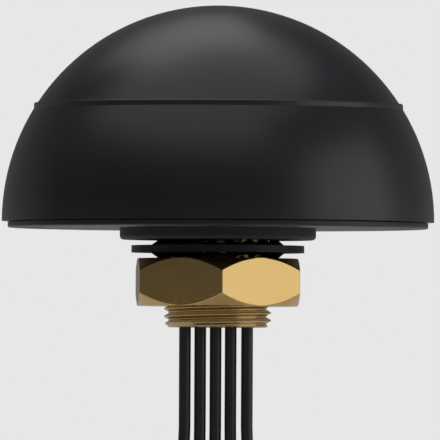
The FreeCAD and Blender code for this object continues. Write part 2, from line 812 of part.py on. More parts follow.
def lead_route(number):
    """Soldered end, the two bends of the spread, and the end on the coil."""
    start = LEAD_SHARES[number - 1] * measure("stud_bore")
    entry = coil_across(number) - coil_shift(number)
    return [Vector(start, 0, measure("board_bottom")),
            Vector(start, 0, SPREAD_START),
            Vector(entry, 0, SPREAD_END),
            Vector(entry, 0, measure("coil_level + coil_tail"))]


def bent_wire(points):
    """Straight runs joined by tangent arcs, each as large as its two runs allow."""
    edges = []
    radii = []
    here = points[0]
    for before, corner, after in zip(points, points[1:], points[2:]):
        into, out = (corner - before), (after - corner)
        turn = into.getAngle(out)
        shorter = min(into.Length, out.Length)
        setback = 0.45 * shorter
        radii.append(setback / math.tan(turn / 2))
        into.normalize()
        out.normalize()
        begin, finish = corner - into * setback, corner + out * setback
        toward = (out - into).normalize()
        centre = corner + toward * (radii[-1] / math.cos(turn / 2))
        middle = centre - toward * radii[-1]
        edges.append(Part.LineSegment(here, begin).toShape())
        edges.append(Part.Arc(begin, middle, finish).toShape())
        here = finish
    edges.append(Part.LineSegment(here, points[-1]).toShape())
    return Part.Wire(edges), radii


def lead(number):
    """The stretch of a lead that isn't coiled, from the feed board down to its coil."""
    points = lead_route(number)
    wire, radii = bent_wire(points)
    radius = measure("lead_radius")
    section = Part.Wire(Part.Circle(points[0], points[1] - points[0], radius).toShape())
    tube = wire.makePipeShell([section], True, False)
    expected = math.pi * radius**2 * wire.Length
    if abs(tube.Volume - expected) > 0.01 * expected:
        raise RuntimeError(f"lead {number} doesn't fill its own section along its length")
    print(f"lead_{number}: {wire.Length:.1f} mm, bend radii", [round(size, 1) for size in radii])
    nodes.append(keep(f"lead_{number}", tube))


def lead_coil(number):
    """Outer shape of the neat coil that takes up the free length: a ring of a few turns,
    with the straight ends of the lead running onto and off its front."""
    body = new_body(f"lead_{number}_coil", "coil_level")
    body.Placement.Base = Vector(coil_across(number), measure("coil_radius"), measure("coil_level"))
    body.setExpression("Placement.Base.y", bound("coil_radius"))
    half, inner, outer = "coil_width / 2", "coil_inside", "coil_outside"
    turned(body, "turns", [
        (f"coil_round - {half}", inner), (f"{half} - coil_round", inner, "coil_round", "left"),
        (half, f"{inner} + coil_round"), (half, f"{outer} - coil_round", "coil_round", "left"),
        (f"{half} - coil_round", outer), (f"coil_round - {half}", outer, "coil_round", "left"),
        (f"-{half}", f"{outer} - coil_round"), (f"-{half}", f"{inner} + coil_round", "coil_round", "left"),
    ], plane="XY_Plane", axis="H_Axis")
    shift = "coil_turns * coil_pitch / 2"
    for name, side in (("incoming", -coil_side[number]), ("outgoing", coil_side[number])):
        sketch = new_sketch(body, "XY_Plane", f"{name}_end")
        circle(sketch, "lead_radius", shift if side > 0 else f"-{shift}", "-coil_radius")
        pad(body, sketch, f"{name}_run", "coil_tail", downward=(name == "outgoing"))
    nodes.append(body)


# %% Plugs


def place_on_lead(body, number):
    """Moves a piece of a plug across to the end of its lead."""
    body.Placement.Base = Vector(coil_across(number) + coil_shift(number), 0, body.Placement.Base.z)


def plug_sleeve(number):
    """Crimped sleeve over the end of the lead."""
    body = new_body(f"plug_{number}_sleeve", "plug_top")
    turned(body, "sleeve", [
        (PLAIN, PLAIN),
        ("sleeve_radius", PLAIN),
        ("sleeve_radius", "sleeve_length - sleeve_round", "sleeve_round", "left"),
        ("sleeve_radius - sleeve_round", "sleeve_length"),
        (PLAIN, "sleeve_length"),
    ])
    place_on_lead(body, number)
    nodes.append(body)


def plug_body(number):
    """Shoulder, neck that the coupling nut turns on, tongue that keeps the nut captive,
    and the centre contact."""
    body = new_body(f"plug_{number}_body", "plug_top")
    neck_top = "-shoulder_length"
    neck_foot = "-(shoulder_length + neck_length)"
    tongue_foot = "-(shoulder_length + neck_length + tongue_length)"
    contact_foot = "-(shoulder_length + neck_length + tongue_length + contact_length)"
    turned(body, "core", [
        (PLAIN, contact_foot),
        ("contact_radius", contact_foot),
        ("contact_radius", tongue_foot),
        ("tongue_radius", tongue_foot),
        ("tongue_radius", neck_foot),
        ("neck_radius", neck_foot),
        ("neck_radius", neck_top),
        ("shoulder_radius", neck_top),
        ("shoulder_radius", "-shoulder_chamfer"),
        ("shoulder_radius - shoulder_chamfer", PLAIN),
        (PLAIN, PLAIN),
    ])
    place_on_lead(body, number)
    nodes.append(body)


def plug_nut(number):
    """Captive coupling nut: a collar round the neck and a wide bore open to the front."""
    body = new_body(f"plug_{number}_nut", "coupling_top")
    chamfered_nut(body, "coupling", "coupling_flats", "coupling_corner", "coupling_length",
                  "coupling_chamfer")
    collar_sketch = new_sketch(body, "XY_Plane", "collar_outline")
    circle(collar_sketch, "collar_bore")
    pocket(body, collar_sketch, "collar_hole", "coupling_length")
    bore_sketch = new_sketch(body, "XY_Plane", "coupling_bore_outline", "-collar_length")
    circle(bore_sketch, "coupling_bore")
    pocket(body, bore_sketch, "coupling_hole", "coupling_length")
    place_on_lead(body, number)
    nodes.append(body)


# %% Everything in its place

radome_cap()
radome_skirt()
base_plate()
rim_seal()
screws("base_screws", "base_screw_length", "base_screw_radius", "base_screw_head",
       "base_head_height", "base_screw_circle", "base_bottom + base_head_sink", 0, upward=True)
mounting_stud()
lead_grommet()
roof_gasket()
lock_washer()
hex_nut()
feed_board()
screws("board_screws", "board_screw_length", "board_screw_radius", "board_screw_head",
       "board_head_height", "board_screw_circle", "board_top", 45)
sheet_element("low_band_element_1", "low", 0)
sheet_element("low_band_element_2", "low", 180)
sheet_element("high_band_element_1", "high", 90)
sheet_element("high_band_element_2", "high", 270)
gnss_board()
square_block("gnss_patch", "patch", "gnss_bottom + gnss_thick")
square_block("gnss_shield", "shield", "gnss_bottom - shield_thick")
gnss_spacers()
for number in LEADS:
    lead(number)
    lead_coil(number)
    plug_sleeve(number)
    plug_body(number)
    plug_nut(number)
doc.recompute()

# %% Checks and files

for item in doc.Objects:
    if "Invalid" in item.State or "Error" in item.State:
        raise RuntimeError(f"{item.Label} did not build: {item.State}")
for cut in cuts:
    if cut.BaseFeature is None or cut.Shape.Volume > cut.BaseFeature.Shape.Volume - 1e-6:
        raise RuntimeError(f"{cut.Label} cuts nothing")
for node in nodes:
    if node.Shape.isNull() or not node.Shape.isValid():
        raise RuntimeError(f"{node.Label} has no sound shape")
for node in nodes:
    node.Shape.exportStep(f"parts/{node.Label}.step")
print(f"{len(nodes)} sub-parts")
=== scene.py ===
# %% [markdown]
# # A domed roof antenna, dressed in Blender
#
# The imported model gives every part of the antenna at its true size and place. This lesson
# dresses it: a camera, five soft leads, a real thread, a milled nut, plugs with knurling,
# and a finish for each material. Lengths are metres, and the helper `mm` keeps the numbers
# in the millimetres that a maker would read off a drawing.

import math

import bmesh
import bpy
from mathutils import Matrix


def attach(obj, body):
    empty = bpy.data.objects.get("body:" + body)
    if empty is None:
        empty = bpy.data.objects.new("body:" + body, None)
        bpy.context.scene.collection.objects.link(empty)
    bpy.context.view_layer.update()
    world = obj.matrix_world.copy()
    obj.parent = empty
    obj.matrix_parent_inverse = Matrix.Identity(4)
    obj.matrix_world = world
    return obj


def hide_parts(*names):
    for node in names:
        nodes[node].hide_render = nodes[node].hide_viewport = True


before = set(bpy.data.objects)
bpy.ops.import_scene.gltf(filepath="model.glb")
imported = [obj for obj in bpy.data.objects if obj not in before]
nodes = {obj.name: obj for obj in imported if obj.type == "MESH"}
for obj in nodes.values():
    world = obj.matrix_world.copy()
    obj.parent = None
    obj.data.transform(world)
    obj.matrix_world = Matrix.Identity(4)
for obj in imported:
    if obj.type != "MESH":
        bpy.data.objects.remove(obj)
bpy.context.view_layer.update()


def mm(size):
    """Millimetres as metres."""
    return size / 1000


# %% [markdown]
# ## The camera
#
# The photograph was taken from far away with a long lens, a little under the level of the
# dome's rim: the rim's underside shows as a thin strip. A long lens keeps the hemisphere
# round and the nut's edges upright, so the camera stands 3.5 m off and looks very slightly
# up. It leans a quarter of a degree, because the rim drops two pixels from left to right.
# The frame is 440 pixels square and shows 104.5 mm of the antenna.

# %% Camera
FRAME_PIXELS = 440
PIXEL = mm(0.2374)
AXIS_PIXEL, RIM_PIXEL, RIM_LEVEL = 216.9, 221.8, mm(4.32)
LENS, SENSOR, CLIP_END = 1200, 36, 60
LOOK_UP, LEAN = math.radians(0.9), math.radians(-0.27)

aim_across = (FRAME_PIXELS / 2 - AXIS_PIXEL) * PIXEL
aim_level = RIM_LEVEL - (FRAME_PIXELS / 2 - RIM_PIXEL) * PIXEL
distance = FRAME_PIXELS * PIXEL * LENS / SENSOR
lens = bpy.data.cameras.new("long_lens")
lens.lens, lens.sensor_width = LENS, SENSOR
lens.clip_end = CLIP_END
camera = bpy.data.objects.new("long_lens", lens)
camera.location = (aim_across, -distance * math.cos(LOOK_UP),
                   aim_level - distance * math.sin(LOOK_UP))
camera.rotation_euler = (math.radians(90) + LOOK_UP, LEAN, 0)
bpy.context.scene.collection.objects.link(camera)
bpy.context.scene.camera = camera
bpy.context.scene.view_settings.view_transform = "Standard"
print(f"camera {distance:.2f} m away, aimed at x {aim_across:.5f}, z {aim_level:.5f}")

# %% [markdown]
# ## The leads
#
# Each lead is a thin coaxial cable. It hangs straight out of the stud, spreads a little
# below the picture and is wound into two neat turns before its plug. One smooth NURBS
# curve through a few control points is the natural way to draw a cable: the curve eases
# round each point, as the jacket would, and a round bevel gives it its thickness.

# %% Routes of the leads
LEAD_ACROSS = [mm(x) for x in (-7.7, -4.07, -0.42, 3.15, 7.04)]
LEAD_RADIUS = mm(1.4)
COIL_RADIUS, COIL_TURNS, COIL_PITCH = mm(15.4), 2, mm(3.2)
COIL_SPACING, COIL_LEVEL, COIL_TAIL = mm(10.6), mm(-92), mm(10)
BOARD_LEVEL, GROMMET_FOOT = mm(9.77), mm(-19.25)
SPREAD_START, SPREAD_END = mm(-54), mm(-71)
POINTS_PER_TURN = 16
WOUND_LEFT = (1, 2)


def lead_route(number):
    """Control points of one lead, from the feed board down through its coil to its plug."""
    start = LEAD_ACROSS[number - 1]
    middle = (number - 3) * COIL_SPACING
    shift = COIL_TURNS * COIL_PITCH / 2 * (-1 if number in WOUND_LEFT else 1)
    entry, leave = middle - shift, middle + shift
    points = [(start, 0, BOARD_LEVEL), (start, 0, mm(-36)), (start, 0, SPREAD_START),
              (entry, 0, SPREAD_END), (entry, 0, COIL_LEVEL + COIL_TAIL)]
    steps = COIL_TURNS * POINTS_PER_TURN
    for step in range(steps + 1):
        turn = 2 * math.pi * step / POINTS_PER_TURN
        points.append((entry + (leave - entry) * step / steps,
                       COIL_RADIUS * (1 - math.cos(turn)),
                       COIL_LEVEL - COIL_RADIUS * math.sin(turn)))
    points.append((leave, 0, COIL_LEVEL - COIL_TAIL))
    return points


# %% Draw the leads
def soft_line(name, points, radius):
    """A cable along a smooth line, and the points that the line runs through."""
    curve = bpy.data.curves.new(name, "CURVE")
    curve.dimensions = "3D"
    spline = curve.splines.new("NURBS")
    spline.points.add(len(points) - 1)
    for spot, point in zip(spline.points, points):
        spot.co = (*point, 1)
    spline.order_u = 3
    spline.use_endpoint_u = True
    spline.resolution_u = 6
    drawing = bpy.data.objects.new(name + "_line", curve)
    line = [tuple(spot.co) for spot in bpy.data.meshes.new_from_object(drawing).vertices]
    curve.bevel_depth = radius
    curve.bevel_resolution = 5
    curve.use_fill_caps = True
    tube = bpy.data.meshes.new_from_object(drawing)
    bpy.data.objects.remove(drawing)
    tube.polygons.foreach_set("use_smooth", [True] * len(tube.polygons))
    tube.set_sharp_from_angle(angle=math.radians(60))
    piece = bpy.data.objects.new(name, tube)
    bpy.context.scene.collection.objects.link(piece)
    return piece, line


leads, lead_lines = {}, {}
for number in range(1, 6):
    leads[number], lead_lines[number] = soft_line(f"lead_{number}_cable", lead_route(number),
                                                  LEAD_RADIUS)
    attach(leads[number], "antenna")
    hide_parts(f"lead_{number}", f"lead_{number}_coil")
print("five leads, each drawn through", len(lead_lines[1]), "points")

# %% [markdown]
# ## Colours and nodes
#
# Colours are easiest to read as the hex values of a colour picker. Blender's shaders work
# in linear light, so one function converts them. A second small function adds a shader
# node with its settings and its links, which keeps each material a short list.

# %% Colour and node helpers
def linear(code):
    """An sRGB hex colour as linear RGBA."""
    channels = [int(code[index:index + 2], 16) / 255 for index in (1, 3, 5)]
    return [c / 12.92 if c <= 0.04045 else ((c + 0.055) / 1.055) ** 2.4 for c in channels] + [1]


def add(tree, kind, inputs=None, **settings):
    """A node of a kind, its settings made and its inputs set or linked."""
    node = tree.nodes.new(kind)
    for name, value in settings.items():
        setattr(node, name, value)
    for name, value in (inputs or {}).items():
        if isinstance(value, bpy.types.NodeSocket):
            tree.links.new(value, node.inputs[name])
        else:
            node.inputs[name].default_value = value
    return node


def blank(name):
    """A new material and its empty node tree."""
    material = bpy.data.materials.new(name)
    material.use_nodes = True
    material.node_tree.nodes.clear()
    return material, material.node_tree


def dress(material, names):
    """Gives the material to every slot of the named nodes."""
    for name in names:
        mesh = nodes[name].data
        mesh.materials.clear()
        mesh.materials.append(material)


def per(size_mm):
    """Texture scale for a feature of that many millimetres."""
    return 1 / mm(size_mm)


# %% [markdown]
# ## Radome: ABS, injection moulded, finely eroded
#
# The dome is black ABS from a spark-eroded mould. The erosion leaves a grain of about a
# tenth of a millimetre, too fine to see from here, but it widens the highlight into a soft
# satin glow. The grain is drawn at 0.45 mm so that close views show it. A slow, faint
# change of roughness keeps the large surface from looking computed.

# %% Radome finish
def moulded_abs(name, dark, light, rough, grain):
    """Satin black ABS with eroded grain."""
    material, tree = blank(name)
    place = add(tree, "ShaderNodeTexCoord").outputs["Object"]
    slow = add(tree, "ShaderNodeTexNoise", {"Vector": place, "Scale": per(23), "Detail": 3})
    fine = add(tree, "ShaderNodeTexNoise", {"Vector": place, "Scale": per(grain), "Detail": 2})
    tint = add(tree, "ShaderNodeMixRGB", {"Fac": slow.outputs["Fac"], "Color1": linear(dark),
                                          "Color2": linear(light)})
    gloss = add(tree, "ShaderNodeMapRange", {"Value": slow.outputs["Fac"], "From Min": 0.3,
                                             "From Max": 0.7, "To Min": rough - 0.02,
                                             "To Max": rough + 0.02})
    bump = add(tree, "ShaderNodeBump", {"Height": fine.outputs["Fac"], "Strength": 0.12,
                                        "Distance": mm(0.02)})
    shader = add(tree, "ShaderNodeBsdfPrincipled", {
        "Base Color": tint.outputs["Color"], "Roughness": gloss.outputs["Result"],
        "Normal": bump.outputs["Normal"], "IOR": 1.54, "Specular IOR Level": 0.5})
    add(tree, "ShaderNodeOutputMaterial", {"Surface": shader.outputs["BSDF"]})
    return material


abs_satin = moulded_abs("abs_moulded_satin", "#161618", "#1b1b1c", 0.35, 0.45)
abs_textured = moulded_abs("abs_moulded_textured", "#111112", "#161617", 0.42, 0.6)
dress(abs_satin, ["radome_cap", "radome_skirt"])
dress(abs_textured, ["base_plate"])
print("dressed the dome and its base")

# %% [markdown]
# ## Gasket, seal and grommet: moulded EPDM rubber
#
# Moulded rubber is blacker and duller than the dome, with a dusty bloom in patches. The
# bloom is a noise of about 3 mm that moves the colour and the roughness a little.

# %% Rubber finish
def epdm(name):
    """Moulded black rubber with a faint bloom."""
    material, tree = blank(name)
    place = add(tree, "ShaderNodeTexCoord").outputs["Object"]
    bloom = add(tree, "ShaderNodeTexNoise", {"Vector": place, "Scale": per(3), "Detail": 5})
    tint = add(tree, "ShaderNodeMixRGB", {"Fac": bloom.outputs["Fac"], "Color1": linear("#141414"),
                                          "Color2": linear("#1c1c1b")})
    gloss = add(tree, "ShaderNodeMapRange", {"Value": bloom.outputs["Fac"], "To Min": 0.5,
                                             "To Max": 0.66})
    bump = add(tree, "ShaderNodeBump", {"Height": bloom.outputs["Fac"], "Strength": 0.1,
                                        "Distance": mm(0.05)})
    shader = add(tree, "ShaderNodeBsdfPrincipled", {
        "Base Color": tint.outputs["Color"], "Roughness": gloss.outputs["Result"],
        "Normal": bump.outputs["Normal"], "IOR": 1.52})
    add(tree, "ShaderNodeOutputMaterial", {"Surface": shader.outputs["BSDF"]})
    return material


rubber = epdm("epdm_rubber_moulded")
dress(rubber, ["roof_gasket", "rim_seal", "lead_grommet"])

# %% [markdown]
# ## Lock washer: spring steel, phosphated and oiled
#
# The phosphate layer is a crust of fine crystals, so the steel loses its mirror and turns
# charcoal. It is still a metal underneath, so it is drawn as a rough dark metal with
# crystals of 0.3 mm.

# %% Washer finish
def phosphated(name):
    """Charcoal phosphate on steel."""
    material, tree = blank(name)
    place = add(tree, "ShaderNodeTexCoord").outputs["Object"]
    crystals = add(tree, "ShaderNodeTexVoronoi", {"Vector": place, "Scale": per(0.3)})
    oil = add(tree, "ShaderNodeTexNoise", {"Vector": place, "Scale": per(5), "Detail": 3})
    tint = add(tree, "ShaderNodeMixRGB", {"Fac": oil.outputs["Fac"], "Color1": linear("#2c2c2e"),
                                          "Color2": linear("#3a3a3c")})
    gloss = add(tree, "ShaderNodeMapRange", {"Value": oil.outputs["Fac"], "To Min": 0.38,
                                             "To Max": 0.55})
    bump = add(tree, "ShaderNodeBump", {"Height": crystals.outputs["Distance"], "Strength": 0.15,
                                        "Distance": mm(0.02)})
    shader = add(tree, "ShaderNodeBsdfPrincipled", {
        "Base Color": tint.outputs["Color"], "Metallic": 1.0, "Roughness": gloss.outputs["Result"],
        "Normal": bump.outputs["Normal"]})
    add(tree, "ShaderNodeOutputMaterial", {"Surface": shader.outputs["BSDF"]})
    return material


black_steel = phosphated("spring_steel_phosphated")
dress(black_steel, ["lock_washer"])

# %% [markdown]
# ## Nut and stud: brass bar, milled and turned
#
# Bright brass mirrors the room: a face turned to the soft panel glows gold, and one turned
# to the dark sheet on the left, a painted reflection of the unlit side of the studio, goes
# deep olive. The cutter leaves fine parallel lines, which blur the mirror a little along one
# direction. They are drawn 0.25 mm apart. The stud's brass is given a paler tone than the
# nut's: between the flanks of a thread light strikes the metal twice or more and picks up
# its colour each time.

# %% Brass finish
def cut_brass(name, dark, light, rough, stretch):
    """Bright brass with tool marks; stretch sets how the marks run along X, Y and Z."""
    material, tree = blank(name)
    place = add(tree, "ShaderNodeTexCoord").outputs["Object"]
    run = add(tree, "ShaderNodeMapping", {"Vector": place, "Scale": stretch})
    marks = add(tree, "ShaderNodeTexNoise", {"Vector": run.outputs["Vector"], "Scale": per(0.25),
                                             "Detail": 2})
    stain = add(tree, "ShaderNodeTexNoise", {"Vector": place, "Scale": per(6), "Detail": 4})
    tint = add(tree, "ShaderNodeMixRGB", {"Fac": stain.outputs["Fac"], "Color1": linear(dark),
                                          "Color2": linear(light)})
    gloss = add(tree, "ShaderNodeMapRange", {"Value": marks.outputs["Fac"], "From Min": 0.3,
                                             "From Max": 0.7, "To Min": rough - 0.02,
                                             "To Max": rough + 0.02})
    bump = add(tree, "ShaderNodeBump", {"Height": marks.outputs["Fac"], "Strength": 0.02,
                                        "Distance": mm(0.01)})
    shader = add(tree, "ShaderNodeBsdfPrincipled", {
        "Base Color": tint.outputs["Color"], "Metallic": 1.0, "Roughness": gloss.outputs["Result"],
        "Normal": bump.outputs["Normal"]})
    add(tree, "ShaderNodeOutputMaterial", {"Surface": shader.outputs["BSDF"]})
    return material


milled_brass = cut_brass("brass_milled", "#dcb773", "#e2bf80", 0.2, (0.15, 0.15, 1))
turned_brass = cut_brass("brass_turned", "#c2ab7c", "#ccb689", 0.24, (0.1, 0.1, 1))

# %% [markdown]
# ## Building shapes from rows of points
#
# Nuts, threads and plugs are all made on a lathe or a mill, so each can be drawn as rows
# of points that run round the axis, with skin between one row and the next. One helper
# does that. It marks an edge as sharp where the skin folds by more than a given angle.

# %% Skin between rows
def skin(name, rows, material, body, sharp=30, ring=False):
    """A mesh from rows of points that each run once round, from a first point back to it or,
    on a thread, to one pitch above it; ring joins the last row to the first."""
    points = [point for row in rows for point in row]
    across = len(rows[0])
    faces = []
    for index in range(len(rows) if ring else len(rows) - 1):
        low, high = index * across, (index + 1) % len(rows) * across
        for step in range(across - 1):
            faces.append((low + step, low + step + 1, high + step + 1, high + step))
    mesh = bpy.data.meshes.new(name)
    mesh.from_pydata(points, [], faces)
    return settle(name, mesh, material, body, sharp)


def settle(name, mesh, material, body, sharp):
    """Cleans a mesh, shades it and lets it ride on its body."""
    work = bmesh.new()
    work.from_mesh(mesh)
    bmesh.ops.remove_doubles(work, verts=work.verts, dist=1e-7)
    bmesh.ops.dissolve_degenerate(work, edges=work.edges, dist=1e-7)
    bmesh.ops.recalc_face_normals(work, faces=work.faces)
    work.to_mesh(mesh)
    work.free()
    mesh.polygons.foreach_set("use_smooth", [True] * len(mesh.polygons))
    mesh.set_sharp_from_angle(angle=math.radians(sharp))
    mesh.materials.append(material)
    piece = bpy.data.objects.new(name, mesh)
    bpy.context.scene.collection.objects.link(piece)
    even = piece.modifiers.new("even_shading", "WEIGHTED_NORMAL")
    even.keep_sharp = True
    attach(piece, body)
    print(name, len(mesh.polygons), "faces")
    return piece


# %% [markdown]
# ## The stud's thread
#
# The stud carries the one inch thread with 14 turns to the inch. A thread is one profile
# swept along a helix, so the rows follow the helix: each row climbs one pitch in a turn,
# and the radius depends only on where the row lies in the profile. At the end of the stud
# the chamfer cuts the crests down, and the rows that would run past the end stop on it.

# %% Thread profile and stud
STUD_RADIUS, STUD_BORE, STUD_END = mm(12.7), mm(9.7), mm(-20.75)
STUD_CHAMFER, FLANGE_SEAT, FLANGE_TOP, FLANGE_FLATS = mm(1.1), mm(5.57), mm(8.07), mm(32)
INCH_PITCH = mm(25.4) / 14
CREST_START = mm(-19.08)
CREST_SHARE, FLANK_SHARE, THREAD_HEIGHT = 0.07, 0.36, 0.613
BORE_BEVEL, UNDERCUT = mm(0.3), mm(0.6)
TURN_STEPS, PROFILE_STEPS = 96, 12


def thread_depth(share, pitch):
    """How far below the crest a 60 degree thread is, at a share of its pitch from the crest."""
    away = abs((share + 0.5) % 1 - 0.5)
    flank = min(max((away - CREST_SHARE) / FLANK_SHARE, 0), 1)
    return THREAD_HEIGHT * pitch * flank


def stud_rows():
    """Rows from the bore's foot, round the end, up the thread and over the flange."""
    angles = [2 * math.pi * step / TURN_STEPS for step in range(TURN_STEPS + 1)]

    def ring(radius, level):
        return [(radius * math.cos(angle), radius * math.sin(angle), level) for angle in angles]

    def hexagon(level):
        points = []
        for angle in angles:
            from_flat = angle % math.radians(60) - math.radians(30)
            reach = FLANGE_FLATS / 2 / math.cos(from_flat)
            points.append((reach * math.cos(angle), reach * math.sin(angle), level))
        return points

    rows = [ring(STUD_BORE, FLANGE_TOP), ring(STUD_BORE, STUD_END + BORE_BEVEL),
            ring(STUD_BORE + BORE_BEVEL, STUD_END)]
    first = math.floor((STUD_END - CREST_START) / INCH_PITCH - 1)
    last = math.ceil((FLANGE_SEAT - CREST_START) / INCH_PITCH)
    for index in range((last - first) * PROFILE_STEPS + 1):
        share = index / PROFILE_STEPS
        row = []
        for step, angle in enumerate(angles):
            level = CREST_START + (first + share + step / TURN_STEPS) * INCH_PITCH
            radius = STUD_RADIUS - thread_depth(share, INCH_PITCH)
            if level < STUD_END:
                level = STUD_END
                radius = STUD_RADIUS - STUD_CHAMFER
            if level > FLANGE_SEAT:
                level = FLANGE_SEAT
                radius = STUD_RADIUS - UNDERCUT
            radius = min(radius, STUD_RADIUS - STUD_CHAMFER + level - STUD_END)
            row.append((radius * math.cos(angle), radius * math.sin(angle), level))
        rows.append(row)
    rows += [hexagon(FLANGE_SEAT), hexagon(FLANGE_TOP)]
    return rows


stud = skin("mounting_stud_threaded", stud_rows(), turned_brass, "antenna", sharp=50, ring=True)
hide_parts("mounting_stud")

# %% [markdown]
# ## The hexagon nut
#
# A nut is sawn from hexagon bar and both ends are turned to a 45 degree chamfer. Where the
# chamfer's cone meets a flat it leaves the curved line that every nut has. Instead of
# cutting a solid, the rows are placed straight on those lines: for each direction round
# the axis the flat's distance is known, and so is the height at which the cone reaches it.

# %% Nut
NUT_FLATS, NUT_TOP, NUT_THICK, NUT_TURN = mm(38.1), mm(-4.40), mm(11.32), math.radians(2.7)
NUT_BORE, NUT_SINK, EDGE = mm(12.75), mm(0.9), mm(0.13)
HALF_FLAT = [4, 8, 12, 16, 20, 24, 27, 28.8, 29.5, 29.9]
FLAT_ANGLES = [-angle for angle in reversed(HALF_FLAT)] + [0] + HALF_FLAT


def nut_profile(reach, flats, thick, bore, sink, edge, slope):
    """Closed section of a nut towards one direction: (radius, depth under its top)."""
    half = flats / 2
    fall = (reach - half) * slope
    along = math.hypot(reach - half, fall)
    ease = min(edge, 0.45 * along)
    out, down = ((reach - half) / along, fall / along) if along else (0, 0)
    top = [(bore, sink), (bore + sink, 0), (half - edge, 0), (half + ease * out, ease * down),
           (reach - ease * out, fall - ease * down), (reach, fall + edge)]
    return top + [(radius, thick - depth) for radius, depth in reversed(top)]


def nut_rows(centre, flats, top, thick, bore, sink, edge, turn, slope=1.0):
    """Rows of a chamfered nut about a vertical axis."""
    columns = []
    for side in range(6):
        for angle in FLAT_ANGLES:
            corner = flats / math.sqrt(3) - edge / 2
            reach = min(flats / 2 / math.cos(math.radians(angle)), corner)
            heading = turn + math.radians(60 * side + angle)
            across, along = math.cos(heading), math.sin(heading)
            profile = nut_profile(reach, flats, thick, bore, sink, edge, slope)
            columns.append([(centre + radius * across, radius * along, top - depth)
                            for radius, depth in profile])
    columns.append(columns[0])
    return [list(row) for row in zip(*columns)]


nut = skin("hex_nut_milled",
           nut_rows(0, NUT_FLATS, NUT_TOP, NUT_THICK, NUT_BORE, NUT_SINK, EDGE, NUT_TURN),
           milled_brass, "antenna", sharp=14, ring=True)
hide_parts("hex_nut")

# %% [markdown]
# ## Lead jackets: extruded PVC
#
# An extruded jacket is smooth along its length, satin, and picks up a faint long sheen.
# A noise stretched along the lead gives the slight waviness that the die leaves.

# %% Jacket finish
def extruded(name, dark, light, rough):
    """Satin extruded jacket."""
    material, tree = blank(name)
    place = add(tree, "ShaderNodeTexCoord").outputs["Object"]
    run = add(tree, "ShaderNodeMapping", {"Vector": place, "Scale": (1, 1, 0.12)})
    die = add(tree, "ShaderNodeTexNoise", {"Vector": run.outputs["Vector"], "Scale": per(0.8),
                                           "Detail": 3})
    tint = add(tree, "ShaderNodeMixRGB", {"Fac": die.outputs["Fac"], "Color1": linear(dark),
                                          "Color2": linear(light)})
    gloss = add(tree, "ShaderNodeMapRange", {"Value": die.outputs["Fac"], "To Min": rough - 0.05,
                                             "To Max": rough + 0.05})
    bump = add(tree, "ShaderNodeBump", {"Height": die.outputs["Fac"], "Strength": 0.08,
                                        "Distance": mm(0.02)})
    shader = add(tree, "ShaderNodeBsdfPrincipled", {
        "Base Color": tint.outputs["Color"], "Roughness": gloss.outputs["Result"],
        "Normal": bump.outputs["Normal"], "IOR": 1.53})
    add(tree, "ShaderNodeOutputMaterial", {"Surface": shader.outputs["BSDF"]})
    return material


jacket = extruded("pvc_extruded", "#131314", "#19191a", 0.4)
shrunk = extruded("polyolefin_shrunk", "#161616", "#1e1e1e", 0.5)
for piece in leads.values():
    piece.data.materials.clear()
    piece.data.materials.append(jacket)

# %% [markdown]
# ## Plated metals
#
# The small screw plugs are gold over nickel over brass: smoother and warmer than the big
# nut, with faint turning rings. The screws are zinc plated and the elements inside are
# tinned, so one finish with other colours serves all three.

# %% Plated finish
def plated(name, dark, light, rough, grain):
    """Plated metal with faint turning rings."""
    material, tree = blank(name)
    place = add(tree, "ShaderNodeTexCoord").outputs["Object"]
    run = add(tree, "ShaderNodeMapping", {"Vector": place, "Scale": (0.1, 0.1, 1)})
    rings = add(tree, "ShaderNodeTexNoise", {"Vector": run.outputs["Vector"], "Scale": per(grain),
                                             "Detail": 2})
    tint = add(tree, "ShaderNodeMixRGB", {"Fac": rings.outputs["Fac"], "Color1": linear(dark),
                                          "Color2": linear(light)})
    gloss = add(tree, "ShaderNodeMapRange", {"Value": rings.outputs["Fac"], "To Min": rough - 0.05,
                                             "To Max": rough + 0.05})
    bump = add(tree, "ShaderNodeBump", {"Height": rings.outputs["Fac"], "Strength": 0.06,
                                        "Distance": mm(0.01)})
    shader = add(tree, "ShaderNodeBsdfPrincipled", {
        "Base Color": tint.outputs["Color"], "Metallic": 1.0, "Roughness": gloss.outputs["Result"],
        "Normal": bump.outputs["Normal"]})
    add(tree, "ShaderNodeOutputMaterial", {"Surface": shader.outputs["BSDF"]})
    return material


gold = plated("brass_gold_plated", "#e0ba62", "#ecca78", 0.22, 0.2)
zinc = plated("steel_zinc_plated", "#b9bcc0", "#c8cacc", 0.32, 0.3)
tinned = plated("steel_tinned", "#c6c6c1", "#d2d2cd", 0.3, 0.8)
dress(zinc, ["base_screws", "board_screws"])
dress(tinned, ["low_band_element_1", "low_band_element_2", "high_band_element_1",
               "high_band_element_2", "gnss_shield"])

# %% [markdown]
# ## Boards: woven glass and epoxy under green solder mask
#
# Under the mask the glass cloth still shows as a faint weave. Two crossed wave textures,
# 0.6 mm apart as the yarns are, press it into the surface.

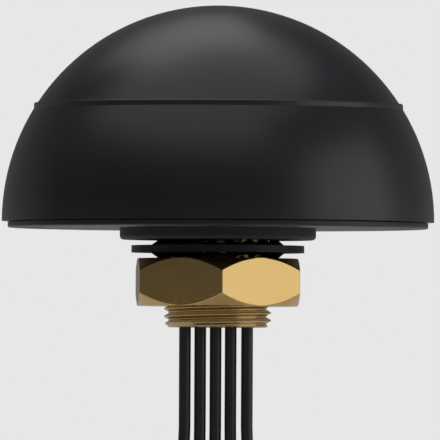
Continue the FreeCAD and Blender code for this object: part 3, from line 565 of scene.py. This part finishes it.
# %% Board finish
def solder_mask(name):
    """Green solder mask over a woven glass board."""
    material, tree = blank(name)
    place = add(tree, "ShaderNodeTexCoord").outputs["Object"]
    yarns = {"Vector": place, "Scale": per(0.6) / 10}
    warp = add(tree, "ShaderNodeTexWave", yarns, bands_direction="X")
    weft = add(tree, "ShaderNodeTexWave", yarns, bands_direction="Y")
    weave = add(tree, "ShaderNodeMath", {0: warp.outputs["Fac"], 1: weft.outputs["Fac"]},
                operation="MAXIMUM")
    tint = add(tree, "ShaderNodeMixRGB", {"Fac": weave.outputs["Value"],
                                          "Color1": linear("#0f5230"),
                                          "Color2": linear("#14623a")})
    gloss = add(tree, "ShaderNodeMapRange", {"Value": weave.outputs["Value"], "To Min": 0.25,
                                             "To Max": 0.34})
    bump = add(tree, "ShaderNodeBump", {"Height": weave.outputs["Value"], "Strength": 0.15,
                                        "Distance": mm(0.02)})
    shader = add(tree, "ShaderNodeBsdfPrincipled", {
        "Base Color": tint.outputs["Color"], "Roughness": gloss.outputs["Result"],
        "Normal": bump.outputs["Normal"], "IOR": 1.55})
    add(tree, "ShaderNodeOutputMaterial", {"Surface": shader.outputs["BSDF"]})
    return material


board = solder_mask("glass_epoxy_solder_mask")
dress(board, ["feed_board", "gnss_board"])

# %% [markdown]
# ## Fired ceramic, moulded nylon and turned PTFE
#
# The patch is a pressed and fired block with a fine speckle. The pillars are natural
# nylon, and the insulator in each plug is white turned PTFE. All three are pale and soft
# in their gloss.

# %% Ceramic, nylon and PTFE finish
def speckled(name, dark, light, rough, grain):
    """A pale body with fine speckle."""
    material, tree = blank(name)
    place = add(tree, "ShaderNodeTexCoord").outputs["Object"]
    speck = add(tree, "ShaderNodeTexNoise", {"Vector": place, "Scale": per(grain), "Detail": 4})
    tint = add(tree, "ShaderNodeMixRGB", {"Fac": speck.outputs["Fac"], "Color1": linear(dark),
                                          "Color2": linear(light)})
    gloss = add(tree, "ShaderNodeMapRange", {"Value": speck.outputs["Fac"], "To Min": rough - 0.06,
                                             "To Max": rough + 0.06})
    bump = add(tree, "ShaderNodeBump", {"Height": speck.outputs["Fac"], "Strength": 0.1,
                                        "Distance": mm(0.02)})
    shader = add(tree, "ShaderNodeBsdfPrincipled", {
        "Base Color": tint.outputs["Color"], "Roughness": gloss.outputs["Result"],
        "Normal": bump.outputs["Normal"], "IOR": 1.53})
    add(tree, "ShaderNodeOutputMaterial", {"Surface": shader.outputs["BSDF"]})
    return material


ceramic = speckled("ceramic_fired", "#c9c0a8", "#d8d0ba", 0.6, 0.5)
ptfe = speckled("ptfe_turned", "#e2e1dc", "#ebeae6", 0.5, 0.3)
nylon = speckled("nylon_moulded", "#dcdad2", "#e6e4de", 0.42, 1.5)
dress(ceramic, ["gnss_patch"])
dress(nylon, ["gnss_spacers"])

# %% [markdown]
# ## The plugs
#
# Each lead ends in a small screw plug. A sleeve is shrunk over the crimp, so its outline
# steps up gently where the crimp begins. The body is turned: a knurled shoulder to hold it
# by, a neck that the nut turns on, and a tongue with a white insulator and the centre
# contact. The hexagon nut has the quarter inch thread with 36 turns to the inch, cut only
# at its mouth and relieved behind, as a tap needs.

# %% Turned pieces
PLUG_STEPS = 96
KNURL_RIDGES, KNURL_DEPTH = 24, mm(0.16)


def turned_rows(centre, profile):
    """Rows of a turned piece from (radius, level, knurl depth) going down its outline."""
    rows = []
    for radius, level, depth in profile:
        row = []
        for step in range(PLUG_STEPS + 1):
            angle = 2 * math.pi * step / PLUG_STEPS
            reach = radius - depth * (0.5 - 0.5 * math.cos(KNURL_RIDGES * angle))
            row.append((centre + reach * math.cos(angle), reach * math.sin(angle), level))
        rows.append(row)
    return rows


def outline(*points):
    """Points in metres from (radius, level) in millimetres; a third value is a knurl's depth."""
    return [(mm(radius), mm(level), knurl[0] if knurl else 0) for radius, level, *knurl in points]


SLEEVE = outline((0, -102), (1.5, -102), (1.72, -102.12), (1.78, -103.2), (1.82, -104.1),
                 (2.0, -104.7), (2.07, -105.4), (2.1, -107), (2.1, -109.7), (2.04, -110),
                 (0, -110))
BODY = outline((0, -110), (2.9, -110), (3.05, -110.08), (3.4, -110.42, KNURL_DEPTH),
               (3.4, -112.5, KNURL_DEPTH), (3.1, -112.9), (2.9, -113), (2.55, -113),
               (2.55, -114.5), (2.85, -114.5), (3, -114.65), (3, -116.5), (2.86, -116.7),
               (2.05, -116.7), (2.05, -116.45), (0.46, -116.45), (0.46, -118.8), (0.34, -119.1),
               (0, -119.2))
CONTACT_RADIUS, INSULATOR_LEVEL = mm(0.46), mm(-116.45)

# %% [markdown]
# ## The coupling nuts
#
# The outside of a coupling nut is the big nut's outline again, smaller and with a flatter
# chamfer, so `nut_rows` draws it. The inside is the stud's thread turned inside out: the
# rows climb the same helix, and the radius grows where the tap has cut.

# %% Coupling nut with its thread
COUPLING_FLATS, COUPLING_TOP, COUPLING_END = mm(8), mm(-113.1), mm(-121.1)
COLLAR_BORE, COLLAR_END, RELIEF_BORE = mm(2.62), mm(-114.4), mm(3.18)
TAP_START, TAP_BORE, TAP_PITCH, MOUTH_SINK = mm(-117.2), mm(2.86), mm(25.4) / 36, mm(0.3)
COUPLING_EDGE, COUPLING_SLOPE = mm(0.06), math.tan(math.radians(30))
TAP_STEPS, MOUTH_LIP = 8, mm(0.02)


def coupling_rows(centre):
    """Outside of the nut from its top down, then back up its threaded bore to the collar."""
    thick = COUPLING_TOP - COUPLING_END
    outside = nut_rows(centre, COUPLING_FLATS, COUPLING_TOP, thick, RELIEF_BORE, 0, COUPLING_EDGE,
                       0, COUPLING_SLOPE)[2:-2]
    headings = [math.radians(60 * side + angle) for side in range(6) for angle in FLAT_ANGLES]
    headings.append(headings[0] + 2 * math.pi)

    def ring(radius, level):
        return [(centre + radius * math.cos(heading), radius * math.sin(heading), level)
                for heading in headings]

    rows = outside + [ring(RELIEF_BORE, COUPLING_END)]
    tap_depth, lip = RELIEF_BORE - TAP_BORE, COUPLING_END + MOUTH_LIP
    turns = math.ceil((TAP_START - COUPLING_END) / TAP_PITCH)
    for index in range(-TAP_STEPS, turns * TAP_STEPS + 1):
        row = []
        for heading in headings:
            around = (heading - headings[0]) / (2 * math.pi)
            level = COUPLING_END + (index / TAP_STEPS + around) * TAP_PITCH
            radius = TAP_BORE + min(thread_depth(index / TAP_STEPS, TAP_PITCH), tap_depth)
            if level < COUPLING_END + MOUTH_SINK:
                radius = max(radius, RELIEF_BORE - (level - COUPLING_END))
            if not lip < level < TAP_START:
                level, radius = min(max(level, lip), TAP_START), RELIEF_BORE
            row.append((centre + radius * math.cos(heading), radius * math.sin(heading), level))
        rows.append(row)
    return rows + [ring(RELIEF_BORE, COLLAR_END), ring(COLLAR_BORE, COLLAR_END),
                   ring(COLLAR_BORE, COUPLING_TOP)]


# %% Build the five plugs
LEVEL_ERROR = mm(0.01)
for number in leads:
    centre = lead_route(number)[-1][0]
    made = {"sleeve": skin(f"plug_{number}_shrunk_sleeve", turned_rows(centre, SLEEVE), shrunk,
                           "antenna"),
            "body": skin(f"plug_{number}_turned_body", turned_rows(centre, BODY), gold, "antenna"),
            "nut": skin(f"plug_{number}_threaded_nut", coupling_rows(centre), gold,
                        f"coupling_nut_{number}", sharp=25, ring=True)}
    mesh = made["body"].data
    mesh.materials.append(ptfe)
    for face in mesh.polygons:
        middle = face.center
        off_axis = math.hypot(middle.x - centre, middle.y)
        if abs(middle.z - INSULATOR_LEVEL) < LEVEL_ERROR and off_axis > CONTACT_RADIUS:
            face.material_index = 1
    for part, piece in made.items():
        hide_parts(f"plug_{number}_{part}")

# %% [markdown]
#
# A lead is a free cable with a plug on its end. The length that hangs free is a short 0.3 m
# pigtail.

# %% [markdown]
# ## The world round the antenna
#
# The background is a pale even grey. Shiny parts should see it too, so the world is that
# grey for camera, glossy and transmission rays. To all other rays the world is a weaker
# white, the soft light that fills the whole room.

# %% World
world = bpy.data.worlds.new("pale_studio")
bpy.context.scene.world = world
world.use_nodes = True
tree = world.node_tree
tree.nodes.clear()
ray = add(tree, "ShaderNodeLightPath").outputs
seen = add(tree, "ShaderNodeMath", {0: ray["Is Camera Ray"], 1: ray["Is Glossy Ray"]},
           operation="MAXIMUM")
seen = add(tree, "ShaderNodeMath", {0: seen.outputs["Value"], 1: ray["Is Transmission Ray"]},
           operation="MAXIMUM")
ambient = add(tree, "ShaderNodeBackground", {"Color": linear("#ffffff"), "Strength": 0.5})
shown = add(tree, "ShaderNodeBackground", {"Color": linear("#e7e7e7"), "Strength": 1.0})
mixed = add(tree, "ShaderNodeMixShader", {0: seen.outputs["Value"], 1: ambient.outputs[0],
                                          2: shown.outputs[0]})
add(tree, "ShaderNodeOutputWorld", {"Surface": mixed.outputs[0]})

# %% [markdown]
# ## Floor
#
# The antenna hangs with its plugs just above a wide sheet of pale paper. The paper takes
# its shadow and shows in the undersides of the nut and the rim.

# %% Floor
FLOOR_LEVEL, FLOOR_REACH = mm(-122), 6


def stage_mesh(name, points, faces, material):
    """A piece of the studio, not of the antenna."""
    mesh = bpy.data.meshes.new(name)
    mesh.from_pydata(points, [], faces)
    mesh.materials.append(material)
    piece = bpy.data.objects.new(name, mesh)
    bpy.context.scene.collection.objects.link(piece)
    return piece


def matt(name, code):
    """Plain matt studio surface."""
    material, tree = blank(name)
    shader = add(tree, "ShaderNodeBsdfDiffuse", {"Color": linear(code)})
    add(tree, "ShaderNodeOutputMaterial", {"Surface": shader.outputs[0]})
    return material


stage_mesh("floor", [(side * FLOOR_REACH, end * FLOOR_REACH, FLOOR_LEVEL)
                     for side, end in ((-1, -1), (1, -1), (1, 1), (-1, 1))],
           [(0, 1, 2, 3)], matt("paper_floor", "#d8d8d8"))

# %% [markdown]
# ## Glowing sheets round the set: painted reflections
#
# Black plastic and bright brass show whatever stands round them, so the tone of the room
# matters as much as the lamps. A dark sheet stands behind the camera and to the left, and a
# grey sheet to the right and behind the antenna. Neither is lit: each glows with a painted
# brightness, the dark one as painted shade for the unlit side of the studio and the grey
# one as a painted reflection of light. The camera does not see them, and they take no light
# away: only mirrored light knows of them. Each glow is painted uneven, so its brightness
# changes with height.

# %% Painted reflection sheets
SHEET_RADIUS, SHEET_STEPS = 4.4, 24


def painted_glow_material(name, low, high, top):
    """Painted glow for a reflection sheet: an emission, lit by no lamp, whose brightness goes from
    low at the floor to high at its top.
    """
    material, tree = blank(name)
    place = add(tree, "ShaderNodeTexCoord").outputs["Object"]
    height = add(tree, "ShaderNodeSeparateXYZ", {"Vector": place}).outputs["Z"]
    # Painted brightness: the emission grows or fades with height, as if the sheet were lit
    # unevenly.
    bright = add(tree, "ShaderNodeMapRange", {"Value": height, "From Min": 0.0, "From Max": top,
                                              "To Min": low, "To Max": high})
    glow = add(tree, "ShaderNodeEmission", {"Strength": bright.outputs["Result"]})
    add(tree, "ShaderNodeOutputMaterial", {"Surface": glow.outputs[0]})
    return material


def painted_reflection_sheet(name, start, stop, top, low, high):
    """A glowing sheet on an arc about the antenna, from the floor up, that the camera can't see: a
    painted reflection of the room.
    """
    points, faces = [], []
    for step in range(SHEET_STEPS + 1):
        angle = math.radians(start + (stop - start) * step / SHEET_STEPS)
        points += [(SHEET_RADIUS * math.cos(angle), SHEET_RADIUS * math.sin(angle), level)
                   for level in (FLOOR_LEVEL, top)]
        if step:
            faces.append((2 * step - 2, 2 * step, 2 * step + 1, 2 * step - 1))
    glow_sheet = stage_mesh(name, points, faces, painted_glow_material(name + "_painted_glow", low, high, top))
    glow_sheet.visible_camera = False
    glow_sheet.visible_diffuse = False


# Painted shade and painted reflection: the dark sheet stands for the unlit side of the studio; the
# grey sheet is painted reflected light to the right and behind, brightest at the floor.
painted_reflection_sheet("painted_dark_reflection", 165, 305, 3.6, 0.0, 0.16)
painted_reflection_sheet("painted_grey_reflection", 305, 525, 6.2, 0.19, 0.0)

# %% [markdown]
# ## Lamps
#
# A soft box overhead makes the glow on the dome's crown. A large soft panel on the right
# lights the nut's right face and the dome's right flank, and a weak cool card between them
# gives the crown's right side its faint blue. All three are wide and near, so no edge is hard.

# %% Lamps
def soft_box(name, place, size, strength, code="#ffffff"):
    """A soft box that faces the antenna; strength is its brightness as white is 1."""
    light = bpy.data.lights.new(name, "AREA")
    light.shape = "RECTANGLE"
    light.size, light.size_y = size
    light.energy = strength * math.pi * size[0] * size[1]
    light.color = linear(code)[:3]
    piece = bpy.data.objects.new(name, light)
    piece.location = place
    to_antenna = -piece.location.normalized()
    piece.rotation_euler = to_antenna.to_track_quat("-Z", "Y").to_euler()
    bpy.context.scene.collection.objects.link(piece)
    return piece


soft_box("overhead", (-0.24, 0.72, 1.3), (1.0, 0.95), 0.9)
soft_box("cool_card", (0.66, 0.38, 1.27), (1.0, 1.1), 0.13, "#c3d9f4")
soft_box("right_panel", (1.25, -0.3, 0.2), (1.3, 1.1), 0.83)
